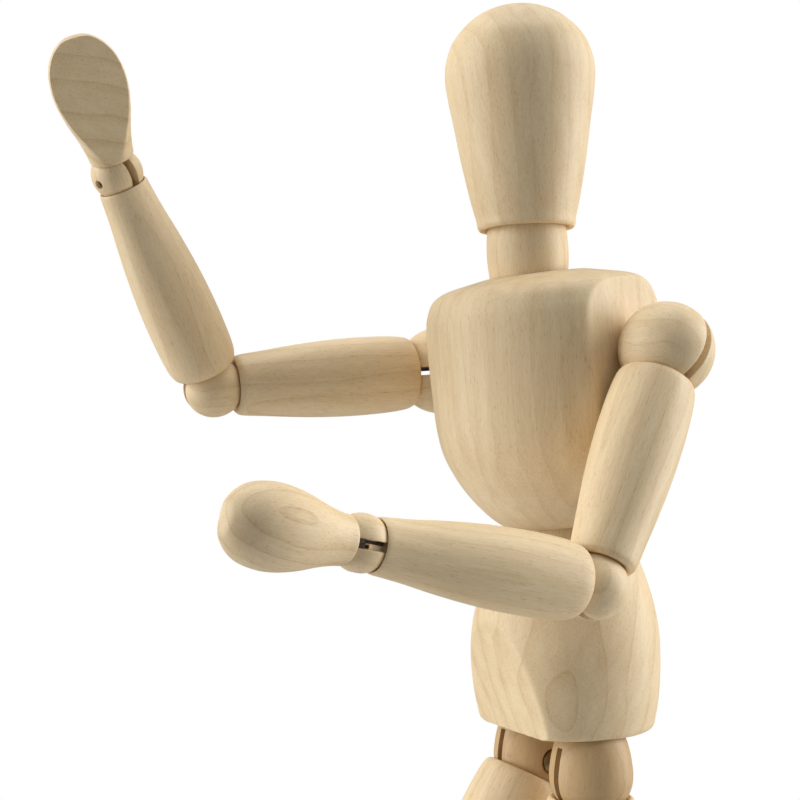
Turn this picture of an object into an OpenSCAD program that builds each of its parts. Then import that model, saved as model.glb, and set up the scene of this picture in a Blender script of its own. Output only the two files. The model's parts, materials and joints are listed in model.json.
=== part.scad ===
// Jointed wooden artist mannequin on a disc base.
// The figure is turned from wood: each limb is a turned segment whose hollowed ends sit on slotted balls.
// A cross pin in every ball carries two flat steel strips. One runs back into the parent segment's bore, the
// other into the child segment's, where a coil spring pulls the wood together and gives the friction that
// holds a pose. The origin is the centre of the base's underside, +Z is up and the pelvis faces -Y, so the
// figure's left side is +X. The frame functions put the figure in its resting pose.

/* [Torso] */
// Height of the head
head_h = 42; // [40:0.5:46]
// Largest diameter of the head
head_d = 28; // [26:0.5:30]
// Diameter of the neck barrel
neck_d = 15.2; // [14.4:0.1:15.6]
// Length of neck showing between head and chest
neck_gap = 8.4; // [8:0.1:9]
// Height of the chest block
chest_h = 46.8; // [45:0.1:50]
// Diameter the chest block is turned to
chest_d = 43.8; // [43:0.1:45]
// Width of the chest between its two flat sides
chest_w = 37.4; // [36:0.1:37.6]
// Height of the shoulder bore above the chest's underside
shoulder_z = 30.5; // [29:0.1:31]
// Gap between pelvis and chest
waist_gap = 4.4; // [4:0.1:5]
// Height of the pelvis block
pelvis_h = 33.9; // [33:0.1:36]
// Largest diameter of the pelvis block
pelvis_d = 35.5; // [35:0.1:37]

/* [Arms] */
// Distance from the chest's middle to a shoulder ball's centre
shoulder_half = 26.7; // [26.6:0.05:27.5]
// Diameter of the shoulder balls
shoulder_d = 17; // [16:0.1:17.2]
// Diameter of the elbow balls
elbow_d = 11.4; // [11:0.1:11.8]
// Diameter of the wrist balls
wrist_d = 9.2; // [8.8:0.1:9.4]
// Upper arm, from shoulder centre to elbow centre
upper_arm_l = 46.2; // [44:0.1:50]
// Forearm, from elbow centre to wrist centre
forearm_l = 44.3; // [42:0.1:48]
// Hand, from wrist centre to fingertip
hand_l = 25.6; // [24:0.1:28]

/* [Legs] */
// Distance from the pelvis's middle to a hip link's centre
hip_half = 9.7; // [9.6:0.05:10.2]
// Depth of a hip link's centre below the pelvis
hip_drop = 7.2; // [7:0.1:7.6]
// Diameter of the hip links
hip_d = 15.3; // [15:0.1:15.6]
// Diameter of the knee balls
knee_d = 12.6; // [12:0.1:13]
// Diameter of the ankle balls
ankle_d = 9.4; // [9:0.1:9.8]
// Thigh, from hip centre to knee centre
thigh_l = 68; // [64:0.5:72]
// Shin, from knee centre to ankle centre
shin_l = 64; // [60:0.5:68]
// Height of the ankle's centre over the sole
ankle_h = 9.5; // [9.2:0.1:10.5]
// Length of the foot
foot_l = 31.4; // [30:0.1:34]

/* [Stand] */
// Diameter of the base disc
base_d = 90; // [80:1:110]
// Thickness of the base disc
base_h = 15; // [12:0.5:20]
// Diameter of the support rod
rod_d = 3; // [2.6:0.1:3.2]
// Distance of the rod behind the pelvis's middle
rod_back = 8.5; // [8:0.1:9]

/* [Hardware] */
// Width of the saw kerf in each ball
kerf = 1.5; // [1.4:0.05:1.8]
// Thickness of the steel strips
strip_t = 0.55; // [0.4:0.05:0.6]
// Diameter of the cross pins
pin_d = 1.6; // [1.4:0.1:1.8]
// Diameter of the spring bores
bore_d = 4; // [3.8:0.1:4.2]

/* [Torso pose] */
// Turn of the chest on the pelvis, towards the figure's left
torso_turn = 19; // [-45:1:45]
// Lean of the chest to the figure's right
torso_side = 3.2; // [-6:0.1:6]
// Lean of the chest forwards
torso_lean = 6; // [-10:0.5:12]
// Nod of the head, backwards
head_back = 6; // [-15:0.5:15]

/* [Arm pose] */
// Swing of the left shoulder ball about its bore
left_shoulder_swivel = 52.6; // [-180:0.1:180]
// Angle of the left upper arm from the shoulder bore
left_shoulder_bend = 90.3; // [0:0.1:91]
// Turn of the left elbow ball about the upper arm
left_elbow_swivel = -72.5; // [-180:0.1:180]
// Bend of the left elbow
left_elbow_bend = 72.5; // [0:0.1:73]
// Turn of the left wrist ball about the forearm
left_wrist_swivel = 77; // [-180:1:180]
// Bend of the left wrist
left_wrist_bend = -10; // [-40:1:40]
// Direction the left palm faces, about the hand's own axis
left_palm = 0; // [-180:1:180]
// Swing of the right shoulder ball about its bore
right_shoulder_swivel = 2.8; // [-180:0.1:180]
// Angle of the right upper arm from the shoulder bore
right_shoulder_bend = 64; // [0:0.1:91]
// Turn of the right elbow ball about the upper arm
right_elbow_swivel = 72.3; // [-180:0.1:180]
// Bend of the right elbow
right_elbow_bend = 66.6; // [0:0.1:73]
// Turn of the right wrist ball about the forearm
right_wrist_swivel = -62; // [-180:1:180]
// Bend of the right wrist
right_wrist_bend = 11; // [-40:1:40]
// Direction the right palm faces, about the hand's own axis
right_palm = -35; // [-180:1:180]

/* [Leg pose] */
// Forward lift of the left thigh
left_hip_flex = 0; // [-8:1:50]
// Backward fold of the left knee
left_knee_flex = 0; // [0:1:70]
// Forward lift of the right thigh
right_hip_flex = 28; // [-8:1:50]
// Backward fold of the right knee
right_knee_flex = 40; // [0:1:70]
// Lift of the right foot's toes
right_ankle_flex = -6; // [-25:1:25]

/* [Hidden] */
$fn = 48;

left = 1;
right = -1;
maple = [0.90, 0.81, 0.66];
beech = [0.80, 0.58, 0.36];
steel = [0.62, 0.63, 0.65];
brass = [0.42, 0.32, 0.14];

cup_gap = 0.15;     // between a ball and the cup that it turns in
sole_gap = 6;       // the rod holds the straight leg's foot this far above the base
run_fit = 0.05;     // radial clearance of a strip's eye on its pin
strip_w = 2.6;      // width of the steel strips
strip_reach = 12;   // from a pin to the end of its strip in the bore
spring_w = 0.6;     // wire thickness of the springs
neck_cap_r = 8.9;   // the neck barrel's domed ends are parts of this ball
waist_cap_r = 9;    // the waist link's likewise
waist_d = 16.4;     // diameter of the waist link's barrel
neck_forward = 2;   // of the chest's middle
hip_forward = 0.8;  // of the pelvis's middle
recess = 0.75;      // depth of the hip links' seats in the pelvis
overcut = 1;        // how far a cutter runs past the wood
pin_inset = 0.8;    // from a ball's surface to the end of its pin, at the hole's open end
pin_blind = 1.4;    // the same at the closed end

pelvis_z = base_h + sole_gap + ankle_h + shin_l + thigh_l + hip_drop;

// ---- frames: a 4x4 matrix for each piece's own axes ----

function shift(v) = [[1, 0, 0, v.x], [0, 1, 0, v.y], [0, 0, 1, v.z], [0, 0, 0, 1]];
function turn_x(a) = [[1, 0, 0, 0], [0, cos(a), -sin(a), 0], [0, sin(a), cos(a), 0], [0, 0, 0, 1]];
function turn_y(a) = [[cos(a), 0, sin(a), 0], [0, 1, 0, 0], [-sin(a), 0, cos(a), 0], [0, 0, 0, 1]];
function turn_z(a) = [[cos(a), -sin(a), 0, 0], [sin(a), cos(a), 0, 0], [0, 0, 1, 0], [0, 0, 0, 1]];
function along(z) = shift([0, 0, z]);

pelvis_frame = along(pelvis_z);
waist_frame = along(pelvis_z + pelvis_h + waist_gap / 2) * turn_z(torso_turn) * turn_y(-torso_side);
chest_frame = waist_frame * turn_x(torso_lean) * along(waist_gap / 2);
neck_frame = chest_frame * shift([0, -neck_forward, chest_h + neck_gap / 2]) * turn_x(-head_back);
head_frame = neck_frame * along(neck_gap / 2);

// In every limb frame +Z runs down the limb and X is the cross pin.
function shoulder_frame(side) = chest_frame * shift([side * shoulder_half, 0, shoulder_z]) * turn_y(side * 90)
    * turn_z(side > 0 ? left_shoulder_swivel : right_shoulder_swivel);
function shoulder_bend(side) = side > 0 ? left_shoulder_bend : right_shoulder_bend;
function upper_arm_frame(side) = shoulder_frame(side) * turn_x(shoulder_bend(side));
function elbow_frame(side) = upper_arm_frame(side) * along(upper_arm_l)
    * turn_z(side > 0 ? left_elbow_swivel : right_elbow_swivel);
function forearm_frame(side) = elbow_frame(side) * turn_x(side > 0 ? left_elbow_bend : right_elbow_bend);
function wrist_frame(side) = forearm_frame(side) * along(forearm_l)
    * turn_z(side > 0 ? left_wrist_swivel : right_wrist_swivel);
function hand_frame(side) = wrist_frame(side) * turn_x(side > 0 ? left_wrist_bend : right_wrist_bend);
function hip_frame(side) = shift([side * hip_half, -hip_forward, pelvis_z - hip_drop]) * turn_x(180);
function thigh_frame(side) = hip_frame(side) * turn_x(side > 0 ? -left_hip_flex : -right_hip_flex);
function knee_frame(side) = thigh_frame(side) * along(thigh_l);
function shin_frame(side) = knee_frame(side) * turn_x(side > 0 ? left_knee_flex : right_knee_flex);
function ankle_frame(side) = shin_frame(side) * along(shin_l);
function foot_frame(side) = ankle_frame(side) * turn_x(side > 0 ? 0 : right_ankle_flex);
function palm(side) = side > 0 ? left_palm : right_palm;

module at(frame) multmatrix(frame) children();

// ---- outlines: a smooth curve through a few [radius, height] points ----

function blend(a, b, c, d, t) =
    0.5 * (2 * b + (c - a) * t + (2 * a - 5 * b + 4 * c - d) * t * t + (3 * b - a - 3 * c + d) * t * t * t);
function smooth(p, n = 3) = [
    for (i = [0 : len(p) - 2], k = [0 : n - 1])
        blend(p[max(i - 1, 0)], p[i], p[i + 1], p[min(i + 2, len(p) - 1)], k / n),
    p[len(p) - 1]
];

// A turned solid from its outline, closed to the axis at both ends
module turned(p, n = 3) {
    body = smooth(p, n);
    rotate_extrude() polygon(concat([[0, p[0].y]], body, [[0, p[len(p) - 1].y]]));
}

// A slightly swelled barrel with domed ends that belong to one ball
module barrel(d, cap_r) {
    swell = 2 * d;
    rotate_extrude() intersection() {
        circle(r = cap_r);
        translate([0, -cap_r]) square([d / 2, 2 * cap_r]);
        translate([d / 2 - swell, 0]) circle(r = swell);
    }
}

// ---- parts that repeat ----

// A turned limb between two balls, hollowed at both ends and bored for its spring
module limb(outline, length, near_d, far_d) {
    difference() {
        turned(outline);
        sphere(d = near_d + 2 * cup_gap);
        translate([0, 0, length]) sphere(d = far_d + 2 * cup_gap);
        cylinder(d = bore_d, h = length);
    }
}

// The saw kerf of a link whose centre is the origin, and the slot for the strip that runs back
module kerf_cuts(d) {
    kerf_floor = -0.36 * d;
    translate([-kerf / 2, -d, kerf_floor]) cube([kerf, 2 * d, 2 * d]);
    translate([-kerf / 2, -strip_w / 2 - 0.3, -2 * d]) cube([kerf, strip_w + 0.6, 2 * d]);
}

// A blind pin hole through a link's middle, open on the +X or the -X side
module pin_hole(d, open) {
    rotate([0, open * 90, 0]) translate([0, 0, pin_blind - d / 2]) cylinder(d = pin_d, h = d);
}

module cross_pin(d, open) {
    pin_l = d - pin_inset - pin_blind;
    rotate([0, open * 90, 0]) translate([0, 0, pin_blind - d / 2]) cylinder(d = pin_d, h = pin_l);
}

module link_ball(d, open) {
    color(maple) difference() {
        sphere(d = d);
        kerf_cuts(d);
        pin_hole(d, open);
    }
}

// A flat strip with an eye round the pin; side = -1 reaches back to the parent, 1 on to the child
module eye_strip(side, reach, bore = 2 * run_fit) {
    eye_r = strip_w / 2 + 0.1;
    shift_x = side > 0 ? 0.1 : -0.1 - strip_t;
    translate([shift_x, 0, 0]) difference() {
        union() {
            rotate([0, 90, 0]) cylinder(r = eye_r, h = strip_t);
            translate([0, -strip_w / 2, side > 0 ? 0 : -reach]) cube([strip_t, strip_w, reach]);
        }
        translate([-overcut, 0, 0]) rotate([0, 90, 0]) cylinder(d = pin_d + bore, h = strip_t + 2 * overcut);
    }
}

// A cross pin and the strip that goes back into the parent's bore
module pin_strip(d, open, reach = strip_reach) {
    color(steel) {
        cross_pin(d, open);
        eye_strip(-1, reach);
    }
}

// The shoulders' strips are longer, to reach the spring across the middle of the chest
module shoulder_pin_strip() {
    pin_strip(shoulder_d, left, 20);
}

module spring_tube(z0, z1) {
    outer = bore_d / 2 - 0.25;
    translate([0, 0, z0]) difference() {
        cylinder(r = outer, h = z1 - z0);
        translate([0, 0, -overcut]) cylinder(r = outer - spring_w, h = z1 - z0 + 2 * overcut);
    }
}

// The strip on a segment's upper pin with the coil spring that it hooks into
module limb_spring(length) {
    hook = strip_reach - 1;
    color(steel) union() {
        eye_strip(1, strip_reach);
        spring_tube(hook, length - strip_reach - 0.3);
    }
}

// ---- stand ----

module base() {
    edge_r = 4;
    color(maple) difference() {
        union() {
            rotate_extrude() union() {
                square([base_d / 2 - edge_r, base_h]);
                square([base_d / 2, base_h - edge_r]);
                translate([base_d / 2 - edge_r, base_h - edge_r]) circle(r = edge_r);
            }
        }
        translate([0, rod_back, 2]) cylinder(d = rod_d, h = base_h);
    }
}

module support_rod() {
    rod_top = pelvis_z + 20;
    color(steel) translate([0, rod_back, 2]) cylinder(d = rod_d, h = rod_top - 2);
}

// ---- torso ----

module pelvis() {
    r = pelvis_d / 2;
    h = pelvis_h;
    outline = [[0.83 * r, 0], [0.925 * r, 0.02 * h], [0.955 * r, 0.08 * h], [0.985 * r, 0.19 * h],
        [r, 0.36 * h], [0.985 * r, 0.54 * h], [0.93 * r, 0.69 * h], [0.855 * r, 0.82 * h],
        [0.77 * r, 0.93 * h], [0.715 * r, 0.98 * h], [0.65 * r, h]];
    front_cut = 11.4;
    front_slant = 15.5;
    color(maple) difference() {
        turned(outline);
        translate([-pelvis_d, -front_cut, 0]) rotate([front_slant, 0, 0])
            translate([0, -pelvis_d, -pelvis_d / 2]) cube([2 * pelvis_d, pelvis_d, 2 * pelvis_d]);
        translate([0, 0, h + waist_gap / 2]) sphere(r = waist_cap_r + cup_gap);
        translate([0, 0, h - 13]) cylinder(d = bore_d, h = 13);
        for (s = [left, right]) translate([s * hip_half, -hip_forward, 0]) {
            translate([0, 0, -overcut]) cylinder(r = 0.825 * hip_d / 2, h = recess + overcut);
            cylinder(d = bore_d, h = 18);
        }
        translate([0, rod_back, -overcut]) cylinder(d = rod_d + 2 * run_fit, h = 21 + overcut);
    }
}

module torso_link(d, cap_r) {
    color(maple) difference() {
        barrel(d, cap_r);
        cylinder(d = bore_d, h = 4 * cap_r, center = true);
        pin_hole(d, right);
    }
}

module chest() {
    r = chest_d / 2;
    h = chest_h;
    outline = [[0.46 * r, 0], [0.53 * r, 0.015 * h], [0.635 * r, 0.058 * h], [0.76 * r, 0.13 * h],
        [0.87 * r, 0.215 * h], [0.96 * r, 0.32 * h], [0.995 * r, 0.43 * h], [r, 0.55 * h],
        [r, 0.7 * h], [0.99 * r, 0.82 * h], [0.965 * r, 0.88 * h], [0.91 * r, 0.93 * h],
        [0.8 * r, 0.962 * h], [0.62 * r, 0.982 * h], [0.42 * r, h]];
    color(maple) difference() {
        intersection() {
            turned(outline);
            translate([-chest_w / 2, -chest_d, -overcut]) cube([chest_w, 2 * chest_d, h + 2 * overcut]);
        }
        for (s = [left, right]) translate([s * shoulder_half, 0, shoulder_z]) rotate([0, 90, 0])
            sphere(d = shoulder_d + 2 * cup_gap);
        translate([0, 0, shoulder_z]) rotate([0, 90, 0]) cylinder(d = bore_d, h = chest_d, center = true);
        translate([0, -neck_forward, h + neck_gap / 2]) sphere(r = neck_cap_r + cup_gap);
        translate([0, -neck_forward, h - 9]) cylinder(d = bore_d, h = 9);
        translate([0, 0, -waist_gap / 2]) sphere(r = waist_cap_r + cup_gap);
        cylinder(d = bore_d, h = 14);
    }
}

module shoulder_spring() {
    half = shoulder_half - 20 - 0.3;
    color(steel) translate([0, 0, shoulder_z]) rotate([0, 90, 0]) spring_tube(-half, half);
}

// The cross pin of a neck or waist barrel, with a spring hooked on it from above and from below
module torso_spring(d, cap_r) {
    color(steel) {
        cross_pin(d, right);
        for (flip = [0, 180]) rotate([flip, 0, 0]) spring_tube(pin_d / 2 + 0.1, cap_r - 0.3);
    }
}

module head() {
    r = head_d / 2;
    h = head_h;
    outline = [[0.625 * r, 0], [0.65 * r, 0.015 * h], [0.665 * r, 0.05 * h], [0.725 * r, 0.13 * h],
        [0.83 * r, 0.305 * h], [0.915 * r, 0.48 * h], [0.965 * r, 0.575 * h], [0.995 * r, 0.655 * h],
        [r, 0.7 * h], [0.975 * r, 0.76 * h], [0.9 * r, 0.83 * h], [0.765 * r, 0.89 * h],
        [0.6 * r, 0.94 * h], [0.4 * r, 0.975 * h], [0.2 * r, 0.995 * h], [0.05 * r, h]];
    color(maple) difference() {
        turned(outline);
        translate([0, 0, -neck_gap / 2]) sphere(r = neck_cap_r + cup_gap);
        cylinder(d = bore_d, h = 12);
    }
}

// ---- arms ----

module upper_arm() {
    l = upper_arm_l;
    outline = [[6.1, 6.4], [6.75, 6.9], [7.2, 8.4], [7.5, 12], [7.6, 17], [7.5, 22], [7.2, 27],
        [6.75, 32], [6.25, 36.5], [5.8, l - 5.4], [5.4, l - 4.35], [4.95, l - 3.95]];
    color(maple) limb(outline, l, shoulder_d, elbow_d);
}

module forearm() {
    l = forearm_l;
    outline = [[5, 3.75], [5.55, 4.05], [6.15, 4.8], [6.6, 6.8], [6.8, 11], [6.8, 16], [6.6, 21],
        [6.2, 26], [5.65, 31], [5.05, 35.5], [4.65, l - 4.8], [4.5, l - 3], [4.3, l - 2.4]];
    color(maple) limb(outline, l, elbow_d, wrist_d);
}

module hand_body() {
    l = hand_l;
    rotate_extrude() polygon(concat([[0, 3]], smooth([[3.6, 3], [3.95, 3.4], [4.15, 5], [4.8, 8], [5.8, 11.5],
        [6.45, 15], [6.5, 18], [5.9, 21], [4.6, 23.4], [2.7, l - 0.5], [0.9, l - 0.06]]), [[0, l]]));
}

// Turned drop with a flat palm cut on its -Y side
module hand(side) {
    palm_slant = -9;
    palm_depth = 2.0;
    color(maple) rotate([0, 0, palm(side)]) difference() {
        hand_body();
        translate([0, -palm_depth, 15]) rotate([palm_slant, 0, 0])
            translate([-hand_l, -2 * hand_l, -2 * hand_l]) cube([2 * hand_l, 2 * hand_l, 4 * hand_l]);
        sphere(d = wrist_d + 2 * cup_gap);
        cylinder(d = 3.2, h = 13);
    }
}

module end_strip(reach) {
    color(steel) eye_strip(1, reach);
}

// ---- legs ----

// Barrel link: round below, where the thigh swings on it, and drawn up to a neck that sits in the pelvis
module hip_link(side) {
    r = hip_d / 2;
    top = hip_drop + recess - 0.1;
    outline = [[0.05 * r, r], [0.35 * r, 0.937 * r], [0.6 * r, 0.8 * r], [0.8 * r, 0.6 * r],
        [0.95 * r, 0.312 * r], [r, 0], [0.96 * r, -0.4 * r], [0.87 * r, -0.78 * r], [0.755 * r, -top]];
    color(beech) difference() {
        rotate([180, 0, 0]) turned([for (p = outline) [p.x, -p.y]]);
        kerf_cuts(hip_d);
        pin_hole(hip_d, -side);
        translate([-side * (r - 0.7), 0, 0]) rotate([0, -side * 90, 0]) cylinder(d = 5.4, h = r);
    }
}

// Cross-head screw that is the hip's pin, with its head towards the other leg
module hip_screw(side) {
    r = hip_d / 2;
    head_z = r - 0.7;
    cross_w = 0.7;
    cross_l = 2.9;
    color(brass) rotate([0, side * 90, 0]) difference() {
        union() {
            translate([0, 0, -head_z]) cylinder(d = pin_d, h = head_z + r - pin_blind);
            translate([0, 0, -head_z - 1.1]) cylinder(d1 = 3.6, d2 = 4.8, h = 0.5);
            translate([0, 0, -head_z - 0.6]) cylinder(d = 4.8, h = 0.6);
        }
        for (w = [[cross_w, cross_l], [cross_l, cross_w]])
            translate([-w.x / 2, -w.y / 2, -head_z - 1.2]) cube([w.x, w.y, 0.8]);
    }
}

module hip_strip() {
    color(steel) eye_strip(-1, hip_drop + 14);
}

module thigh() {
    l = thigh_l;
    outline = [[7.2, 3.9], [7.75, 4.25], [8.3, 5.8], [8.85, 10], [9.2, 16], [9.25, 23], [8.95, 31],
        [8.35, 39], [7.65, 47], [7, 54], [6.5, l - 7.4], [6.2, l - 5.2], [5.7, l - 4.2]];
    color(maple) limb(outline, l, hip_d, knee_d);
}

module shin() {
    l = shin_l;
    outline = [[5.7, 3.9], [6.3, 4.2], [6.9, 5.6], [7.3, 9.5], [7.4, 15], [7.1, 22], [6.5, 30],
        [5.85, 38], [5.2, 46], [4.75, 53], [4.55, l - 5], [4.45, l - 3.8], [4.2, l - 3.2]];
    color(maple) limb(outline, l, knee_d, ankle_d);
}

// Turned drop lying heel to toe, with a flat sole and a socket for the ankle
module foot() {
    heel = 8.6;
    drop_r = 6.4;
    axis_z = ankle_h - 2.2;
    k = foot_l / 31.4;
    outline = [[0.4, 0], [2.6, 0.5], [4.6, 2.3], [5.8, 5.4], [drop_r, 10], [6.3, 15], [5.8, 20],
        [4.7, 25], [3.1, 28.8], [1.5, 30.9], [0.3, 31.4]];
    color(maple) difference() {
        translate([0, -heel, axis_z]) rotate([-90, 0, 0]) turned([for (p = outline) [p.x, k * p.y]]);
        translate([-foot_l, -foot_l, ankle_h]) cube([2 * foot_l, 3 * foot_l, foot_l]);
        sphere(d = ankle_d + 2 * cup_gap);
        cylinder(d = 3.2, h = ankle_h - 1);
    }
}

base();
support_rod();
at(pelvis_frame) pelvis();
at(waist_frame) torso_link(waist_d, waist_cap_r);  // waist_link
at(waist_frame) torso_spring(waist_d, waist_cap_r);  // waist_spring
at(chest_frame) chest();
at(chest_frame) shoulder_spring();
at(neck_frame) torso_link(neck_d, neck_cap_r);  // neck_link
at(neck_frame) torso_spring(neck_d, neck_cap_r);  // neck_spring
at(head_frame) head();

at(shoulder_frame(left)) link_ball(shoulder_d, left);  // shoulder_ball_left
at(shoulder_frame(left)) shoulder_pin_strip();  // shoulder_pin_strip_left
at(upper_arm_frame(left)) upper_arm();  // upper_arm_left
at(upper_arm_frame(left)) limb_spring(upper_arm_l);  // upper_arm_spring_left
at(elbow_frame(left)) link_ball(elbow_d, left);  // elbow_ball_left
at(elbow_frame(left)) pin_strip(elbow_d, left);  // elbow_pin_strip_left
at(forearm_frame(left)) forearm();  // forearm_left
at(forearm_frame(left)) limb_spring(forearm_l);  // forearm_spring_left
at(wrist_frame(left)) link_ball(wrist_d, left);  // wrist_ball_left
at(wrist_frame(left)) pin_strip(wrist_d, left);  // wrist_pin_strip_left
at(hand_frame(left)) hand(left);  // hand_left
at(hand_frame(left)) end_strip(strip_reach);  // hand_strip_left

at(shoulder_frame(right)) link_ball(shoulder_d, left);  // shoulder_ball_right
at(shoulder_frame(right)) shoulder_pin_strip();  // shoulder_pin_strip_right
at(upper_arm_frame(right)) upper_arm();  // upper_arm_right
at(upper_arm_frame(right)) limb_spring(upper_arm_l);  // upper_arm_spring_right
at(elbow_frame(right)) link_ball(elbow_d, left);  // elbow_ball_right
at(elbow_frame(right)) pin_strip(elbow_d, left);  // elbow_pin_strip_right
at(forearm_frame(right)) forearm();  // forearm_right
at(forearm_frame(right)) limb_spring(forearm_l);  // forearm_spring_right
at(wrist_frame(right)) link_ball(wrist_d, right);  // wrist_ball_right
at(wrist_frame(right)) pin_strip(wrist_d, right);  // wrist_pin_strip_right
at(hand_frame(right)) hand(right);  // hand_right
at(hand_frame(right)) end_strip(strip_reach);  // hand_strip_right

at(hip_frame(left)) hip_link(left);  // hip_link_left
at(hip_frame(left)) hip_screw(left);  // hip_screw_left
at(hip_frame(left)) hip_strip();  // hip_strip_left
at(thigh_frame(left)) thigh();  // thigh_left
at(thigh_frame(left)) limb_spring(thigh_l);  // thigh_spring_left
at(knee_frame(left)) link_ball(knee_d, right);  // knee_ball_left
at(knee_frame(left)) pin_strip(knee_d, right);  // knee_pin_strip_left
at(shin_frame(left)) shin();  // shin_left
at(shin_frame(left)) limb_spring(shin_l);  // shin_spring_left
at(ankle_frame(left)) link_ball(ankle_d, right);  // ankle_ball_left
at(ankle_frame(left)) pin_strip(ankle_d, right);  // ankle_pin_strip_left
at(foot_frame(left)) foot();  // foot_left
at(foot_frame(left)) end_strip(ankle_h - 2);  // foot_strip_left

at(hip_frame(right)) hip_link(right);  // hip_link_right
at(hip_frame(right)) hip_screw(right);  // hip_screw_right
at(hip_frame(right)) hip_strip();  // hip_strip_right
at(thigh_frame(right)) thigh();  // thigh_right
at(thigh_frame(right)) limb_spring(thigh_l);  // thigh_spring_right
at(knee_frame(right)) link_ball(knee_d, left);  // knee_ball_right
at(knee_frame(right)) pin_strip(knee_d, left);  // knee_pin_strip_right
at(shin_frame(right)) shin();  // shin_right
at(shin_frame(right)) limb_spring(shin_l);  // shin_spring_right
at(ankle_frame(right)) link_ball(ankle_d, left);  // ankle_ball_right
at(ankle_frame(right)) pin_strip(ankle_d, left);  // ankle_pin_strip_right
at(foot_frame(right)) foot();  // foot_right
at(foot_frame(right)) end_strip(ankle_h - 2);  // foot_strip_right
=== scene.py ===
"""Jointed wooden artist mannequin: fine turned-wood pieces, their materials, the studio and the camera.

Sizes are in millimetres and repeat the CAD part's own; places and directions come from the frame's joints.
In every limb's own frame +Z runs down the limb and X is the cross pin.
"""
import math
import bpy
import bmesh
from mathutils import Matrix, Vector, noise
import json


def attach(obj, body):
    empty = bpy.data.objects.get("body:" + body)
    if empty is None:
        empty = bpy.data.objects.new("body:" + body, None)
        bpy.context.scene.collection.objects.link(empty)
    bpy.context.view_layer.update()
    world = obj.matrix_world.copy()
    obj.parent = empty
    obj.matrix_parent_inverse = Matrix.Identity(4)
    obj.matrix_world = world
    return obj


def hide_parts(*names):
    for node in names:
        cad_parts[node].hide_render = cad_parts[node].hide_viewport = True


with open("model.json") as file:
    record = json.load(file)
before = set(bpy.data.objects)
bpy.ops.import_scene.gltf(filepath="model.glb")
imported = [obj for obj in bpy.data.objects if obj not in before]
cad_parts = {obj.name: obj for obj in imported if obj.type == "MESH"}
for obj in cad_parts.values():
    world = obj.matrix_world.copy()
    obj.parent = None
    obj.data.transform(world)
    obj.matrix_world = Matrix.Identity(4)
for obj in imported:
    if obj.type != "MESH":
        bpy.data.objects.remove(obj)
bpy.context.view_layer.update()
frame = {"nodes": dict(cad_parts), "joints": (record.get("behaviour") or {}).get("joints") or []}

MM = 0.001
SIDES = ("left", "right")
JOINTS = {joint["name"]: joint for joint in frame["joints"]}

# ---- the part's driving sizes, in millimetres ----

HEAD_H, HEAD_D = 42.0, 28.0
NECK_D, NECK_GAP, NECK_CAP_R = 15.2, 8.4, 8.9
NECK_FORWARD = 2.0
CHEST_H, CHEST_D, CHEST_W = 46.8, 43.8, 37.4
SHOULDER_Z, SHOULDER_HALF = 30.5, 26.7
PELVIS_H, PELVIS_D = 33.9, 35.5
WAIST_GAP, WAIST_D, WAIST_CAP_R = 4.4, 16.4, 9.0
UPPER_ARM_L, FOREARM_L, HAND_L = 46.2, 44.3, 25.6
THIGH_L, SHIN_L, ANKLE_H, FOOT_L = 68.0, 64.0, 9.5, 31.4
BALL_D = {"shoulder": 17.0, "elbow": 11.4, "wrist": 9.2, "hip": 15.3, "knee": 12.6, "ankle": 9.4}
BASE_D, BASE_H = 90.0, 15.0
HIP_DROP, RECESS, HIP_HALF, HIP_FORWARD = 7.2, 0.75, 9.7, 0.8
KERF, PIN_D, BORE_D, CUP_GAP = 1.5, 1.6, 4.0, 0.15
KERF_FLOOR = 0.36
PIN_BLIND = 1.4

# Angles, in degrees, between a link and the piece past it, where no joint's axis shows them
HEAD_BACK = 6.0
TORSO_LEAN = 6
WRIST_BEND = {"left": -10.0, "right": 11.0}
PALM = {"left": 0.0, "right": -35.0}
ANKLE_FLEX = {"left": 0.0, "right": -6.0}

# Which side of a link its blind pin goes in from: +1 is the link's own +X
PIN_SIDE = {"shoulder_left": 1, "shoulder_right": 1, "elbow_left": 1, "elbow_right": 1, "wrist_left": 1,
            "wrist_right": -1, "hip_left": -1, "hip_right": 1, "knee_left": -1, "knee_right": 1,
            "ankle_left": -1, "ankle_right": 1}

AROUND = 144        # sides of a turned piece
FINE = 8            # steps between two points of an outline


# ---- places ----

def place(pos, z_axis, x_axis):
    """A matrix whose +Z and X are these axes, at pos, in metres."""
    z = Vector(z_axis).normalized()
    x = Vector(x_axis)
    x = (x - z * x.dot(z)).normalized()
    y = z.cross(x)
    turn = Matrix((x, y, z)).transposed().to_4x4()
    return Matrix.Translation(Vector(pos)) @ turn


def joint_axis(name):
    return Vector(JOINTS[name]["axis"])


def joint_place(name):
    return Vector(JOINTS[name]["pos_m"])


def turned_by(vector, degrees, axis):
    return Matrix.Rotation(math.radians(degrees), 3, axis) @ Vector(vector)


def limb_place(near, far, side):
    """The frame of the segment between two joints: it lies along the far joint's swivel."""
    return place(joint_place(f"{near}_bend_{side}"), joint_axis(f"{far}_swivel_{side}"),
                 joint_axis(f"{near}_bend_{side}"))


def link_place(joint, side):
    swivel = joint_axis(f"{joint}_swivel_{side}")
    if joint == "hip":
        swivel = -swivel
    return place(joint_place(f"{joint}_bend_{side}"), swivel, joint_axis(f"{joint}_bend_{side}"))


def end_place(joint, side, bend):
    """The frame of a hand or foot, which no further joint points along."""
    pin = joint_axis(f"{joint}_bend_{side}")
    down = turned_by(joint_axis(f"{joint}_swivel_{side}"), bend, pin)
    return place(joint_place(f"{joint}_bend_{side}"), down, pin)


# ---- outlines: lists of (radius, height), in millimetres ----

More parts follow.
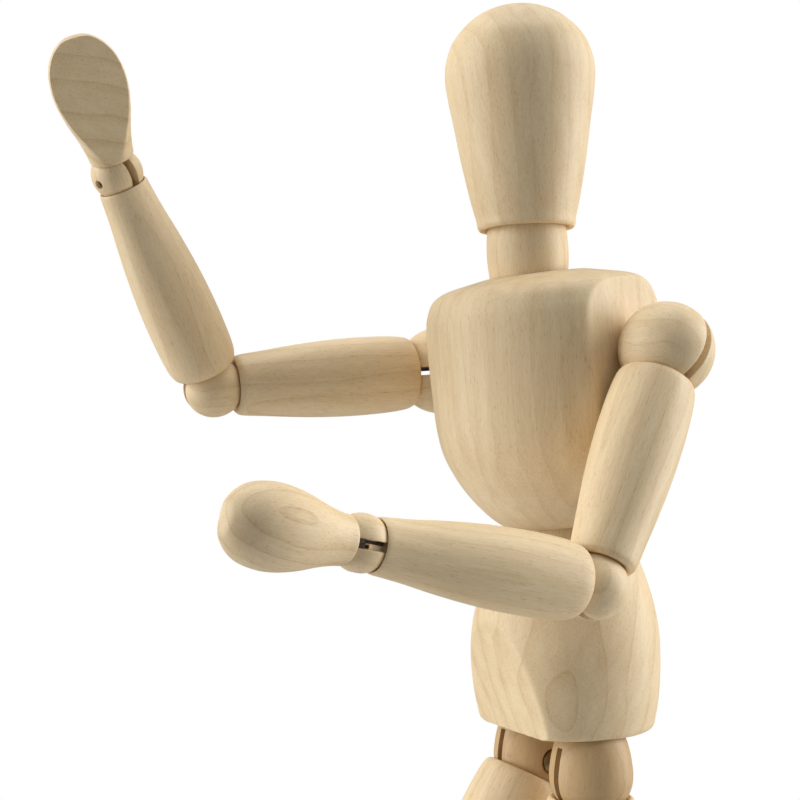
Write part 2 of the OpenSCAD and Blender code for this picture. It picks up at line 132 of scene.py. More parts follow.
def smooth(points, steps=FINE):
    """A Catmull-Rom curve through the points."""
    out = []
    for i in range(len(points) - 1):
        a, b = points[max(i - 1, 0)], points[i]
        c, d = points[i + 1], points[min(i + 2, len(points) - 1)]
        for k in range(steps):
            t = k / steps
            out.append(tuple(0.5 * (2 * b[n] + (c[n] - a[n]) * t
                                    + (2 * a[n] - 5 * b[n] + 4 * c[n] - d[n]) * t * t
                                    + (3 * b[n] - a[n] - 3 * c[n] + d[n]) * t * t * t) for n in (0, 1)))
    return out + [tuple(points[-1])]


def cup_arc(centre, radius, r_from, r_to, upward, steps=14):
    """The cup that a ball turns in: an arc of a sphere centred on the axis, from one radius to another."""
    sign = 1 if upward else -1
    start, stop = math.asin(r_from / radius), math.asin(r_to / radius)
    angles = [start + (stop - start) * k / steps for k in range(steps + 1)]
    return [(radius * math.sin(a), centre + sign * radius * math.cos(a)) for a in angles]


def eased(outline, corner, reach, steps=4):
    """The outline with the corner at that index rounded off."""
    before, at, after = (Vector(outline[i % len(outline)]) for i in (corner - 1, corner, corner + 1))
    a = at + (before - at).normalized() * min(reach, (before - at).length * 0.9)
    b = at + (after - at).normalized() * min(reach, (after - at).length * 0.9)
    curve = []
    for k in range(steps + 1):
        t = k / steps
        p = a * (1 - t) ** 2 + at * 2 * t * (1 - t) + b * t ** 2
        curve.append((p.x, p.y))
    return outline[:corner] + curve + outline[corner + 1:]


# ---- meshes ----

def spin(name, outline, closed=False, around=AROUND):
    """Turns an outline about Z. A closed one is a ring's section; an open one ends on the axis."""
    bm = bmesh.new()
    rows = []
    for r, z in outline:
        if r < 1e-6:
            rows.append([bm.verts.new((0, 0, z * MM))])
            continue
        ring = []
        for k in range(around):
            a = 2 * math.pi * k / around
            ring.append(bm.verts.new((r * MM * math.cos(a), r * MM * math.sin(a), z * MM)))
        rows.append(ring)
    pairs = list(zip(rows, rows[1:]))
    if closed:
        pairs.append((rows[-1], rows[0]))
    for low, high in pairs:
        for k in range(around):
            n = (k + 1) % around
            if len(low) == 1:
                bm.faces.new((low[0], high[n], high[k]))
            elif len(high) == 1:
                bm.faces.new((low[k], low[n], high[0]))
            else:
                bm.faces.new((low[k], low[n], high[n], high[k]))
    bmesh.ops.recalc_face_normals(bm, faces=bm.faces)
    mesh = bpy.data.meshes.new(name)
    bm.to_mesh(mesh)
    bm.free()
    return mesh


def socket_mesh(radius, steps):
    """A ball to cut a socket with, in this many steps from bottom to top."""
    angles = [math.pi * k / steps for k in range(1, steps)]
    arc = [(radius * math.sin(a), -radius * math.cos(a)) for a in angles]
    return spin("socket", [(0, -radius)] + arc + [(0, radius)])


def flatten(mesh, point, normal, soft=0.5):
    """Planes the mesh off where it stands beyond a plane, with the edge eased over soft millimetres."""
    n = Vector(normal).normalized()
    p = Vector(point) * MM
    k = soft * MM
    for v in mesh.vertices:
        d = (v.co - p).dot(n)
        h = max(k - abs(d), 0) / k
        v.co -= n * (d - (min(d, 0) - h * h * k / 4))


def dish(mesh, centre, radius, axis):
    """Pushes the surface along axis out of a ball, which leaves a round hollow."""
    c = Vector(centre) * MM
    r = radius * MM
    a = Vector(axis)
    for v in mesh.vertices:
        q = v.co - c
        along = q.dot(a)
        aside = (q - a * along).length
        if q.length < r and aside < r:
            v.co += a * (math.sqrt(r * r - aside * aside) - along)


def finish_mesh(mesh, angle=32):
    for polygon in mesh.polygons:
        polygon.use_smooth = True
    mesh.set_sharp_from_angle(angle=math.radians(angle))


def piece(name, mesh, matrix, body, material, node):
    """A finished piece: it stands for its CAD node and rides on that node's body."""
    mesh.transform(matrix)
    finish_mesh(mesh)
    own_frame = material.node_tree.nodes["own_frame"]
    own_frame.inputs["Location"].default_value = matrix.to_translation()
    own_frame.inputs["Rotation"].default_value = matrix.to_euler()
    mesh.materials.append(material)
    obj = bpy.data.objects.new(name, mesh)
    bpy.context.scene.collection.objects.link(obj)
    bpy.context.view_layer.update()
    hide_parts(node)
    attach(obj, body)
    return obj


def joined(name, meshes):
    bm = bmesh.new()
    for mesh in meshes:
        bm.from_mesh(mesh)
    mesh = bpy.data.meshes.new(name)
    bm.to_mesh(mesh)
    bm.free()
    return mesh


def box_mesh(low, high):
    bm = bmesh.new()
    bmesh.ops.create_cube(bm, size=1)
    for v in bm.verts:
        v.co = Vector([(low[i] if v.co[i] < 0 else high[i]) * MM for i in range(3)])
    mesh = bpy.data.meshes.new("box")
    bm.to_mesh(mesh)
    bm.free()
    return mesh


def cut(mesh, *cutters):
    """The mesh less the cutters, as a new mesh."""
    obj = bpy.data.objects.new("cut", mesh)
    bpy.context.scene.collection.objects.link(obj)
    tools = []
    for cutter in cutters:
        tool = bpy.data.objects.new("tool", cutter)
        bpy.context.scene.collection.objects.link(tool)
        modifier = obj.modifiers.new("cut", "BOOLEAN")
        modifier.operation = "DIFFERENCE"
        modifier.solver = "EXACT"
        modifier.object = tool
        tools.append(tool)
    bpy.context.view_layer.update()
    result = bpy.data.meshes.new_from_object(obj.evaluated_get(bpy.context.evaluated_depsgraph_get()))
    for old in [obj] + tools:
        bpy.data.objects.remove(old)
    return result


# ---- materials ----

def node_adder(material):
    tree = material.node_tree

    def add(kind, inputs=None, **settings):
        made = tree.nodes.new(kind)
        for key, value in settings.items():
            setattr(made, key, value)
        for key, value in (inputs or {}).items():
            if isinstance(value, bpy.types.NodeSocket):
                tree.links.new(value, made.inputs[key])
            else:
                made.inputs[key].default_value = value
        return made

    return add


def ramp(add, factor, stops):
    made = add("ShaderNodeValToRGB", {"Fac": factor})
    elements = made.color_ramp.elements
    while len(elements) < len(stops):
        elements.new(0.5)
    for element, (at, colour) in zip(elements, stops):
        element.position = at
        element.color = (*colour, 1)
    return made.outputs["Color"]


def grey(value):
    return (value, value, value)


def wood(name, light, dark, seed, pith=(9.0, 4.0), lean=(4.0, 3.0), ring_gap=3.2, along="Z", rings=0.22):
    """Bare turned wood. The grain runs along one of the piece's own axes, and the pith lies beside it."""
    material = bpy.data.materials.new(name)
    material.use_nodes = True
    add = node_adder(material)
    shader = material.node_tree.nodes["Principled BSDF"]
    link = material.node_tree.links.new
    turn = {"Z": (0, 0, 0), "X": (0, math.radians(-90), 0), "Y": (math.radians(90), 0, 0)}[along]
    place_in = add("ShaderNodeTexCoord").outputs["Object"]
    own = add("ShaderNodeMapping", {"Vector": place_in}, vector_type="TEXTURE", name="own_frame")
    in_mm = add("ShaderNodeMapping", {
        "Vector": own.outputs[0], "Rotation": turn, "Scale": (1000, 1000, 1000)})
    shifted = add("ShaderNodeMapping", {
        "Vector": in_mm.outputs[0], "Location": (pith[0], pith[1], 37.0 * seed),
        "Rotation": (math.radians(lean[0]), math.radians(lean[1]), 0)})
    grain_place = shifted.outputs[0]

    # growth rings round the pith, wandering a little
    wander = add("ShaderNodeTexNoise", {"Vector": add("ShaderNodeVectorMath", {
        0: grain_place, 1: (0.07, 0.07, 0.02)}, operation="MULTIPLY").outputs[0],
        "Scale": 1.0, "Detail": 2.0, "Roughness": 0.5})
    split = add("ShaderNodeSeparateXYZ", {"Vector": grain_place})
    flat = add("ShaderNodeCombineXYZ", {"X": split.outputs[0], "Y": split.outputs[1]})
    away = add("ShaderNodeVectorMath", {0: flat.outputs[0]}, operation="LENGTH")
    wavy = add("ShaderNodeMath", {0: wander.outputs["Fac"], 1: 2.2 * ring_gap, 2: away.outputs["Value"]},
               operation="MULTIPLY_ADD")
    ring = add("ShaderNodeMath", {0: wavy.outputs[0], 1: 1 / ring_gap}, operation="MULTIPLY")
    phase = add("ShaderNodeMath", {0: ring.outputs[0]}, operation="FRACT")
    latewood = ramp(add, phase.outputs[0], [(0.0, grey(0.12)), (0.55, grey(0.0)), (0.86, grey(0.55)),
                                            (0.955, grey(1.0)), (1.0, grey(0.12))])

    # broad soft streaks, long fibres and short dark flecks, all drawn out along the grain
    def stretched(across, length, detail, rough):
        scaled = add("ShaderNodeVectorMath", {0: grain_place, 1: (across, across, length)},
                     operation="MULTIPLY")
        return add("ShaderNodeTexNoise", {"Vector": scaled.outputs[0], "Scale": 1.0, "Detail": detail,
                                          "Roughness": rough}).outputs["Fac"]

    streaks = ramp(add, stretched(0.35, 0.03, 3.0, 0.55), [(0.32, grey(0.0)), (0.68, grey(1.0))])
    fibres = ramp(add, stretched(4.0, 0.16, 3.0, 0.65), [(0.35, grey(0.0)), (0.68, grey(1.0))])
    flecks = ramp(add, stretched(5.5, 0.75, 1.0, 0.5), [(0.615, grey(0.0)), (0.70, grey(1.0))])

    def weigh(mask, weight, onto=None):
        scaled = {0: mask, 1: weight}
        if onto is not None:
            scaled[2] = onto
        made = add("ShaderNodeMath", scaled, operation="MULTIPLY" if onto is None else "MULTIPLY_ADD")
        return made.outputs[0]

    tone = weigh(streaks, 0.26)
    tone = weigh(latewood, rings, tone)
    tone = weigh(fibres, 0.22, tone)
    tone = weigh(flecks, 0.32, tone)
    colour = ramp(add, tone, [(0.0, light), (0.5, tuple(0.55 * a + 0.45 * b for a, b in zip(light, dark))),
                              (1.0, dark)])
    link(colour, shader.inputs["Base Color"])
    link(ramp(add, tone, [(0.0, grey(0.46)), (1.0, grey(0.60))]), shader.inputs["Roughness"])
    bump_height = weigh(fibres, 0.6, weigh(flecks, -0.8))
    bump = add("ShaderNodeBump", {"Height": bump_height, "Strength": 0.18, "Distance": 0.00006})
    link(bump.outputs[0], shader.inputs["Normal"])
    shader.inputs["Specular IOR Level"].default_value = 0.35
    shader.inputs["Subsurface Weight"].default_value = 0.08
    shader.inputs["Subsurface Radius"].default_value = (0.0012, 0.0007, 0.0004)
    return material


def metal(name, colour, roughness, scratch=0.5):
    material = bpy.data.materials.new(name)
    material.use_nodes = True
    add = node_adder(material)
    shader = material.node_tree.nodes["Principled BSDF"]
    link = material.node_tree.links.new
    place_in = add("ShaderNodeTexCoord").outputs["Object"]
    drawn = add("ShaderNodeMapping", {"Vector": place_in, "Scale": (3000, 3000, 400)})
    speck = add("ShaderNodeTexNoise", {"Vector": drawn.outputs[0], "Scale": 1.0, "Detail": 3.0})
    link(ramp(add, speck.outputs["Fac"], [(0.3, tuple(0.72 * c for c in colour)), (0.7, colour)]),
         shader.inputs["Base Color"])
    link(ramp(add, speck.outputs["Fac"], [(0.3, grey(roughness)), (0.7, grey(roughness + 0.15 * scratch))]),
         shader.inputs["Roughness"])
    shader.inputs["Metallic"].default_value = 1.0
    return material


MAPLE_LIGHT = (0.86, 0.69, 0.44)
MAPLE_DARK = (0.54, 0.345, 0.15)
HIP_LIGHT = (0.62, 0.43, 0.22)
HIP_DARK = (0.38, 0.22, 0.09)

maple_count = 0


def maple(name, **look):
    """The next piece's own cut of the same pale wood."""
    global maple_count
    maple_count += 1
    seed = maple_count
    pith = (9.0 + 5.0 * math.sin(2.1 * seed), 6.0 * math.cos(1.3 * seed))
    lean = (4.0 * math.sin(1.7 * seed), 4.0 * math.cos(2.3 * seed))
    settings = {"pith": pith, "lean": lean}
    settings.update(look)
    return wood(f"maple_{name}", MAPLE_LIGHT, MAPLE_DARK, seed, **settings)


# ---- balls and limbs ----

def cap_arc(r, inner, face):
    """The round of a cap, from the radius inner out to the kerf's face."""
    start, stop = math.asin(inner / r), math.acos(face / r)
    angles = [start + (stop - start) * k / 40 for k in range(41)]
    return [(r * math.sin(a), r * math.cos(a)) for a in angles]


def web_mesh(r, floor, half):
    """The part of a disc across X that lies below floor."""
    widest = math.acos(-floor / r)
    arc = [(r * math.sin(a), -r * math.cos(a)) for a in [widest * (k / 20 - 1) for k in range(41)]]
    bm = bmesh.new()
    near, far = ([bm.verts.new((x * MM, y * MM, z * MM)) for y, z in arc] for x in (-half, half))
    bm.faces.new(near)
    bm.faces.new(list(reversed(far)))
    for k in range(len(arc)):
        n = (k + 1) % len(arc)
        bm.faces.new((near[k], far[k], far[n], near[n]))
    bmesh.ops.recalc_face_normals(bm, faces=bm.faces)
    mesh = bpy.data.meshes.new("web")
    bm.to_mesh(mesh)
    bm.free()
    return mesh


def ball_mesh(diameter, pin_side):
    """Two caps with the saw kerf between them, joined by the web that the kerf leaves uncut."""
    r = diameter / 2
    face = KERF / 2
    hole = PIN_D / 2 + 0.02
    through = eased(cap_arc(r, hole, face) + [(hole, face)], 40, 0.22)
    through = spin("cap", eased(through, 0, 0.12), closed=True)
    blind = [(0, r)] + cap_arc(r, 0, face)[1:] + [(hole, face), (hole, r - PIN_BLIND), (0, r - PIN_BLIND)]
    blind = spin("cap", eased(blind, 40, 0.22))
    through.transform(Matrix.Rotation(math.radians(90 * pin_side), 4, "Y"))
    blind.transform(Matrix.Rotation(math.radians(-90 * pin_side), 4, "Y"))
    return joined("ball", [through, blind, web_mesh(0.97 * r, -KERF_FLOOR * diameter, face + 0.2)])


def cup_r(joint):
    return BALL_D[joint] / 2 + CUP_GAP


def rim_r(radius, depth, outside):
    """Where a cup meets the flat of a limb's end, this deep from the ball's middle."""
    return min(outside - 0.05, math.sqrt(max(radius * radius - depth * depth, 1)))


def limb_mesh(outline, length, near, far):
    """A segment between two balls, with a cup in each end and the spring's bore through it."""
    bore = BORE_D / 2
    outside = smooth(outline)
    near_rim = rim_r(cup_r(near), outside[0][1], outside[0][0])
    far_rim = rim_r(cup_r(far), length - outside[-1][1], outside[-1][0])
    near_cup = cup_arc(0, cup_r(near), bore, near_rim, True)
    far_cup = cup_arc(length, cup_r(far), bore, far_rim, False)
    section = near_cup[:-1] + outside + list(reversed(far_cup[:-1]))
    section = eased(section, len(near_cup) - 1 + len(outside) - 1, 0.18)
    section = eased(section, len(near_cup) - 1, 0.18)
    return spin("limb", section, closed=True)


UPPER_ARM = [(6.1, 6.4), (6.75, 6.9), (7.2, 8.4), (7.5, 12), (7.6, 17), (7.5, 22), (7.2, 27), (6.75, 32),
             (6.25, 36.5), (5.8, UPPER_ARM_L - 5.4), (5.4, UPPER_ARM_L - 4.35), (4.95, UPPER_ARM_L - 3.95)]
FOREARM = [(5, 3.75), (5.55, 4.05), (6.15, 4.8), (6.6, 6.8), (6.8, 11), (6.8, 16), (6.6, 21), (6.2, 26),
           (5.65, 31), (5.05, 35.5), (4.65, FOREARM_L - 4.8), (4.5, FOREARM_L - 3), (4.3, FOREARM_L - 2.4)]
THIGH = [(7.2, 3.9), (7.75, 4.25), (8.3, 5.8), (8.85, 10), (9.2, 16), (9.25, 23), (8.95, 31), (8.35, 39),
         (7.65, 47), (7, 54), (6.5, THIGH_L - 7.4), (6.2, THIGH_L - 5.2), (5.7, THIGH_L - 4.2)]
SHIN = [(5.7, 3.9), (6.3, 4.2), (6.9, 5.6), (7.3, 9.5), (7.4, 15), (7.1, 22), (6.5, 30), (5.85, 38),
        (5.2, 46), (4.75, 53), (4.55, SHIN_L - 5), (4.45, SHIN_L - 3.8), (4.2, SHIN_L - 3.2)]
SEGMENTS = {"upper_arm": (UPPER_ARM, UPPER_ARM_L, "shoulder", "elbow"),
            "forearm": (FOREARM, FOREARM_L, "elbow", "wrist"),
            "thigh": (THIGH, THIGH_L, "hip", "knee"),
            "shin": (SHIN, SHIN_L, "knee", "ankle")}


def make_limbs():
    for side in SIDES:
        for segment, (outline, length, near, far) in SEGMENTS.items():
            name = f"{segment}_{side}"
            piece(f"wood_{name}", limb_mesh(outline, length, near, far), limb_place(near, far, side),
                  name, maple(name), name)


def make_balls():
    for side in SIDES:
        for joint in ("shoulder", "elbow", "wrist", "knee", "ankle"):
            name = f"{joint}_{side}"
            node = f"{joint}_ball_{side}"
            piece(f"wood_{node}", ball_mesh(BALL_D[joint], PIN_SIDE[name]), link_place(joint, side),
                  name, maple(node), node)


# ---- hands and feet ----

HAND_GRAIN = {"left": {"lean": (4.0, 2.0), "ring_gap": 2.6},
              "right": {"lean": (58.0, 16.0), "ring_gap": 3.6}}


def make_hands():
    palm_slant, palm_depth = -9.0, 2.0
    drop = [(3.6, 3), (3.95, 3.4), (4.15, 5), (4.8, 8), (5.8, 11.5), (6.45, 15), (6.5, 18), (5.9, 21),
            (4.6, 23.4), (2.7, HAND_L - 0.5), (0.9, HAND_L - 0.06)]
    cup = cup_arc(0, cup_r("wrist"), 0.001, 3.6, True)
    for side in SIDES:
        section = [(0, cup[0][1])] + cup[1:-1] + smooth(drop) + [(0, HAND_L)]
        section = eased(section, len(cup) - 1, 0.15)
        mesh = spin("hand", section, around=192)
        slope = math.radians(palm_slant)
        flatten(mesh, (0, -palm_depth, 15), (0, -math.cos(slope), -math.sin(slope)), soft=0.25)
        mesh.transform(Matrix.Rotation(math.radians(PALM[side]), 4, "Z"))
        look = maple(f"hand_{side}", pith=(3.0, -9.0), rings=0.34, **HAND_GRAIN[side])
        piece(f"wood_hand_{side}", mesh, end_place("wrist", side, WRIST_BEND[side]), f"hand_{side}", look,
              f"hand_{side}")


def make_feet():
    heel, axis_z, drop_r = 8.6, ANKLE_H - 2.2, 6.4
    drop = [(0.4, 0), (2.6, 0.5), (4.6, 2.3), (5.8, 5.4), (drop_r, 10), (6.3, 15), (5.8, 20), (4.7, 25),
            (3.1, 28.8), (1.5, 30.9), (0.3, FOOT_L)]
    for side in SIDES:
        mesh = spin("foot", [(0, 0)] + smooth(drop) + [(0, FOOT_L)])
        lie_down = Matrix.Rotation(math.radians(-90), 4, "X")
        mesh.transform(Matrix.Translation(Vector((0, -heel, axis_z)) * MM) @ lie_down)
        flatten(mesh, (0, 0, ANKLE_H), (0, 0, 1), soft=0.4)
        mesh = cut(mesh, socket_mesh(cup_r("ankle"), 40))
        piece(f"wood_foot_{side}", mesh, end_place("ankle", side, ANKLE_FLEX[side]), f"foot_{side}",
              maple(f"foot_{side}", along="Y"), f"foot_{side}")


# ---- hips ----

def make_hips():
    r = BALL_D["hip"] / 2
    top = HIP_DROP + RECESS - 0.1
    outline = [(0.05 * r, r), (0.35 * r, 0.937 * r), (0.6 * r, 0.8 * r), (0.8 * r, 0.6 * r),
               (0.95 * r, 0.312 * r), (r, 0), (0.96 * r, -0.4 * r), (0.87 * r, -0.78 * r), (0.755 * r, -top)]
    section = [(0, r)] + smooth(outline) + [(0, -top)]
    section = eased(section, len(section) - 2, 0.25)
    for side in SIDES:
        mesh = spin("hip", section, around=192)
        kerf = box_mesh((-KERF / 2, -2 * r, -KERF_FLOOR * BALL_D["hip"]), (KERF / 2, 2 * r, 2 * r))
        hole = spin("hole", [(0, r - 0.7), (2.7, r - 0.7), (2.7, 2 * r), (0, 2 * r)], around=64)
        hole.transform(Matrix.Rotation(math.radians(90 * PIN_SIDE[f"hip_{side}"]), 4, "Y"))
        mesh = cut(mesh, kerf, hole)
        look = wood(f"hip_wood_{side}", HIP_LIGHT, HIP_DARK, 40 if side == "left" else 41, ring_gap=2.4,
                    pith=(6.0, 5.0), lean=(6.0, 2.0))
        piece(f"wood_hip_link_{side}", mesh, link_place("hip", side), f"hip_{side}", look,
              f"hip_link_{side}")


# ---- torso ----

def torso_places():
    neck = place(joint_place("neck_nod"), joint_axis("head_turn"), joint_axis("neck_nod"))
    head = neck @ Matrix.Translation((0, 0, NECK_GAP / 2 * MM))
    chest_up = turned_by(joint_axis("head_turn"), HEAD_BACK, joint_axis("neck_nod"))
    waist = joint_place("waist_turn")
    chest = place(waist + chest_up * WAIST_GAP / 2 * MM, chest_up, joint_axis("waist_bend"))
    waist_up = turned_by(chest_up, -TORSO_LEAN, joint_axis("waist_bend"))
    waist_link = place(waist, waist_up, joint_axis("waist_bend"))
    pelvis = Matrix.Translation(waist - Vector((0, 0, (WAIST_GAP / 2 + PELVIS_H) * MM)))
    return {"neck": neck, "head": head, "chest": chest, "waist": waist_link, "pelvis": pelvis}


def barrel_mesh(diameter, cap_r):
    """A barrel with domed ends, cut from a ball and slightly swelled."""
    swell = 2 * diameter
    centre = diameter / 2 - swell
    edge = 0.001
    for k in range(4000):
        z = cap_r * k / 4000
        if centre + math.sqrt(swell * swell - z * z) >= math.sqrt(cap_r * cap_r - z * z):
            edge = z
            break
    side = [(centre + math.sqrt(swell * swell - z * z), z) for z in [edge * (k / 12 - 1) for k in range(25)]]
    top_angle = math.asin(side[-1][0] / cap_r)
    top = [(cap_r * math.sin(top_angle * (1 - k / 12)), cap_r * math.cos(top_angle * (1 - k / 12)))
           for k in range(1, 12)]
    section = [(r, -z) for r, z in reversed(top)] + side + top
    first = len(top)
    section = eased(section, first + len(side) - 1, 0.5)
    section = eased(section, first, 0.5)
    barrel = spin("barrel", [(0, -cap_r)] + section + [(0, cap_r)])
    hole_r = PIN_D / 2 + 0.02
    hole = spin("hole", [(0, 0), (hole_r, 0), (hole_r, 2 * diameter), (0, 2 * diameter)], around=32)
    hole.transform(Matrix.Translation((((diameter / 2 - PIN_BLIND) * MM), 0, 0))
                   @ Matrix.Rotation(math.radians(-90), 4, "Y"))
    return cut(barrel, hole)


def head_mesh():
    r, h = HEAD_D / 2, HEAD_H
    outline = [(0.625 * r, 0), (0.65 * r, 0.015 * h), (0.665 * r, 0.05 * h), (0.725 * r, 0.13 * h),
               (0.83 * r, 0.305 * h), (0.915 * r, 0.48 * h), (0.965 * r, 0.575 * h), (0.995 * r, 0.655 * h),
               (r, 0.7 * h), (0.975 * r, 0.76 * h), (0.9 * r, 0.83 * h), (0.765 * r, 0.89 * h),
               (0.6 * r, 0.94 * h), (0.4 * r, 0.975 * h), (0.2 * r, 0.995 * h), (0.05 * r, h)]
    socket_r = NECK_CAP_R + CUP_GAP
    rim = math.sqrt(socket_r ** 2 - (NECK_GAP / 2) ** 2)
    socket = cup_arc(-NECK_GAP / 2, socket_r, 0.001, rim, True)
    section = [(0, socket[0][1])] + socket[1:] + smooth(outline) + [(0, h)]
    section = eased(section, len(socket), 0.25)
    return spin("head", section, around=192)


def chest_mesh():
    r, h = CHEST_D / 2, CHEST_H
    outline = [(0.46 * r, 0), (0.53 * r, 0.015 * h), (0.635 * r, 0.058 * h), (0.76 * r, 0.13 * h),
               (0.87 * r, 0.215 * h), (0.96 * r, 0.32 * h), (0.995 * r, 0.43 * h), (r, 0.55 * h),
               (r, 0.7 * h),
               (0.99 * r, 0.82 * h), (0.965 * r, 0.88 * h), (0.91 * r, 0.93 * h), (0.8 * r, 0.962 * h),
               (0.62 * r, 0.982 * h), (0.42 * r, h)]
    low_r = WAIST_CAP_R + CUP_GAP
    low_rim = math.sqrt(low_r ** 2 - (WAIST_GAP / 2) ** 2)
    low = cup_arc(-WAIST_GAP / 2, low_r, 0.001, low_rim, True)
    section = [(0, low[0][1])] + low[1:] + smooth(outline)
    section = eased(section, len(low), 0.2)
    section += [(0.42 * r * k / 12, h) for k in range(11, 0, -1)] + [(0, h)]
    mesh = spin("chest", section, around=256)
    for s in (1, -1):
        flatten(mesh, (s * CHEST_W / 2, 0, 0), (s, 0, 0), soft=0.4)
        dish(mesh, (s * SHOULDER_HALF, 0, SHOULDER_Z), BALL_D["shoulder"] / 2 + CUP_GAP, (-s, 0, 0))
    socket_r = NECK_CAP_R + CUP_GAP
    socket = socket_mesh(socket_r, 48)
    socket.transform(Matrix.Translation(Vector((0, -NECK_FORWARD, h + NECK_GAP / 2)) * MM))
    return cut(mesh, socket)


def pelvis_mesh():
    r, h = PELVIS_D / 2, PELVIS_H
    outline = [(0.83 * r, 0), (0.925 * r, 0.02 * h), (0.955 * r, 0.08 * h), (0.985 * r, 0.19 * h),
               (r, 0.36 * h),
               (0.985 * r, 0.54 * h), (0.93 * r, 0.69 * h), (0.855 * r, 0.82 * h), (0.77 * r, 0.93 * h),
               (0.715 * r, 0.98 * h), (0.65 * r, h)]
    top_r = WAIST_CAP_R + CUP_GAP
    rim = math.sqrt(top_r ** 2 - (WAIST_GAP / 2) ** 2)
    top = cup_arc(h + WAIST_GAP / 2, top_r, 0.001, rim, False)
    body = smooth(outline)
    underside = [(0, 0)] + [(0.83 * r * k / 14, 0) for k in range(1, 14)]
    section = underside + body + list(reversed(top[1:])) + [(0, top[0][1])]
    section = eased(section, len(underside) + len(body), 0.2)
    mesh = spin("pelvis", section, around=256)
    front_cut, front_slant = 11.4, math.radians(15.5)
    flatten(mesh, (0, -front_cut, 0), (0, -math.cos(front_slant), -math.sin(front_slant)), soft=0.35)
    recesses = []
    for s in (1, -1):
        recess_r = 0.825 * BALL_D["hip"] / 2
        recess = spin("recess", [(0, -2), (recess_r, -2), (recess_r, RECESS), (0, RECESS)], around=96)
        recess.transform(Matrix.Translation(Vector((s * HIP_HALF, -HIP_FORWARD, 0)) * MM))
        recesses.append(recess)
    return cut(mesh, *recesses)


def make_torso():
    at = torso_places()
    piece("wood_head", head_mesh(), at["head"], "head",
          maple("head", pith=(-15.0, -9.0), lean=(-3.0, 5.0), ring_gap=3.4, rings=0.2), "head")
    piece("wood_neck_link", barrel_mesh(NECK_D, NECK_CAP_R), at["neck"], "neck", maple("neck_link"),
          "neck_link")
    piece("wood_chest", chest_mesh(), at["chest"], "chest",
          maple("chest", pith=(-30.0, 22.0), lean=(3.0, -4.0), ring_gap=4.2, rings=0.16), "chest")
    piece("wood_waist_link", barrel_mesh(WAIST_D, WAIST_CAP_R), at["waist"], "waist", maple("waist_link"),
          "waist_link")
    piece("wood_pelvis", pelvis_mesh(), at["pelvis"], "pelvis",
          maple("pelvis", pith=(-14.0, 12.0), lean=(20.0, 24.0), ring_gap=4.4, rings=0.3), "pelvis")


def make_base():
    r, edge_r = BASE_D / 2, 4.0
    corner = [(r - edge_r + edge_r * math.sin(a), BASE_H - edge_r + edge_r * math.cos(a))
              for a in [math.pi / 2 * (1 - k / 12) for k in range(13)]]
    section = [(0, 0), (r, 0)] + corner + [(0, BASE_H)]
    section = eased(section, 1, 0.4)
    mesh = spin("base", section, around=192)
    look = maple("base", along="X", pith=(-60.0, 8.0), lean=(2.0, 1.0), ring_gap=5.0)
    piece("wood_base", mesh, Matrix.Identity(4), "base", look, "base")


def dress_metal():
    steel = metal("steel", (0.27, 0.26, 0.25), 0.36)
    brass = metal("aged_brass", (0.30, 0.21, 0.09), 0.32)
    for name, obj in frame["nodes"].items():
        if "screw" in name:
            look = brass
        elif any(word in name for word in ("rod", "strip", "spring")):
            look = steel
        else:
            continue
        if not obj.material_slots:
            obj.data.materials.append(look)
        for slot in obj.material_slots:
            slot.material = look


# ---- studio ----

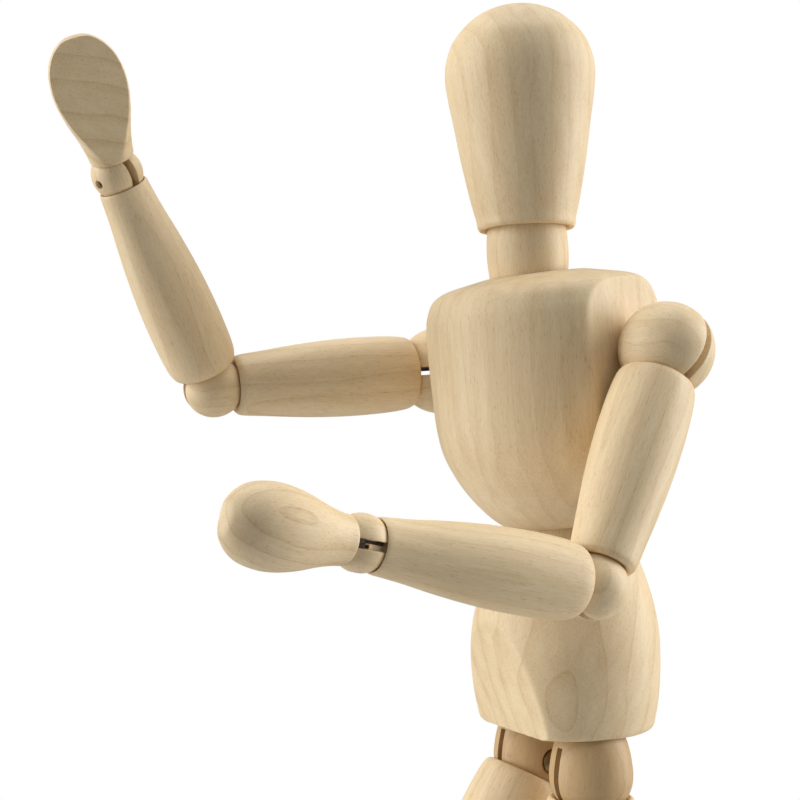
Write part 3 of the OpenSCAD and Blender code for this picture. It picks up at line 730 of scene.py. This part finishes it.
def make_studio():
    bpy.ops.mesh.primitive_plane_add(size=0.8)
    floor = bpy.context.object
    floor.name = "studio_floor"
    white = bpy.data.materials.new("studio_white")
    white.use_nodes = True
    add = node_adder(white)
    shader = white.node_tree.nodes["Principled BSDF"]
    mottle = add("ShaderNodeTexNoise", {"Scale": 3.0})
    white.node_tree.links.new(ramp(add, mottle.outputs["Fac"], [(0.0, grey(0.93)), (1.0, grey(0.96))]),
                              shader.inputs["Base Color"])
    shader.inputs["Roughness"].default_value = 0.9
    where = add("ShaderNodeTexCoord").outputs["Object"]
    out = add("ShaderNodeVectorMath", {0: where}, operation="LENGTH").outputs["Value"]
    fade = add("ShaderNodeMapRange", {"Value": out, "From Min": 0.07, "From Max": 0.30})
    gone = add("ShaderNodeBsdfTransparent")
    faded = add("ShaderNodeMixShader", {0: fade.outputs[0], 1: shader.outputs[0], 2: gone.outputs[0]})
    white.node_tree.links.new(faded.outputs[0], white.node_tree.nodes["Material Output"].inputs["Surface"])
    floor.data.materials.append(white)

    world = bpy.data.worlds.new("studio")
    bpy.context.scene.world = world
    world.use_nodes = True
    seen = world.node_tree.nodes["Background"]
    seen.inputs["Color"].default_value = (1, 1, 1, 1)
    seen.inputs["Strength"].default_value = 1.0
    fill = world.node_tree.nodes.new("ShaderNodeBackground")
    fill.inputs["Color"].default_value = (0.96, 0.98, 1, 1)
    fill.inputs["Strength"].default_value = 0.30
    rays = world.node_tree.nodes.new("ShaderNodeLightPath")
    pick = world.node_tree.nodes.new("ShaderNodeMixShader")
    link = world.node_tree.links.new
    link(rays.outputs["Is Camera Ray"], pick.inputs[0])
    link(fill.outputs[0], pick.inputs[1])
    link(seen.outputs[0], pick.inputs[2])
    link(pick.outputs[0], world.node_tree.nodes["World Output"].inputs["Surface"])

    def area(name, where, aim, size, power):
        lamp = bpy.data.lights.new(name, "AREA")
        lamp.shape = "RECTANGLE"
        lamp.size, lamp.size_y = size
        lamp.energy = power
        obj = bpy.data.objects.new(name, lamp)
        obj.location = where
        obj.rotation_euler = (Vector(aim) - Vector(where)).to_track_quat("-Z", "Y").to_euler()
        bpy.context.scene.collection.objects.link(obj)

    chest_height = (0, 0, 0.24)
    for name, where, size, watts in (("left_box", (-0.36, -0.72, 0.42), (0.5, 0.9), 7.2),
                                     ("right_box", (0.26, 0.74, 0.42), (0.5, 0.9), 7.6),
                                     ("top_box", (-0.1, 0.1, 1.0), (0.8, 0.8), 3.6)):
        area(name, where, chest_height, size, watts)
    bpy.context.scene.view_settings.view_transform = "Standard"
    bpy.context.scene.view_settings.look = "None"


def make_camera():
    """Level, 62 degrees round from the front towards the figure's left, aimed past the figure."""
    lens = bpy.data.cameras.new("camera")
    lens.lens = 72
    lens.sensor_width = 36
    lens.clip_start = 0.01
    camera = bpy.data.objects.new("camera", lens)
    camera.location = Vector((251.2, -168.7, 230.9)) * MM
    camera.rotation_euler = (math.radians(90), 0, math.radians(62))
    bpy.context.scene.collection.objects.link(camera)
    bpy.context.scene.camera = camera


make_camera()
make_torso()
make_limbs()
make_balls()
make_hands()
make_hips()
make_feet()
make_base()
dress_metal()
make_studio()

import json
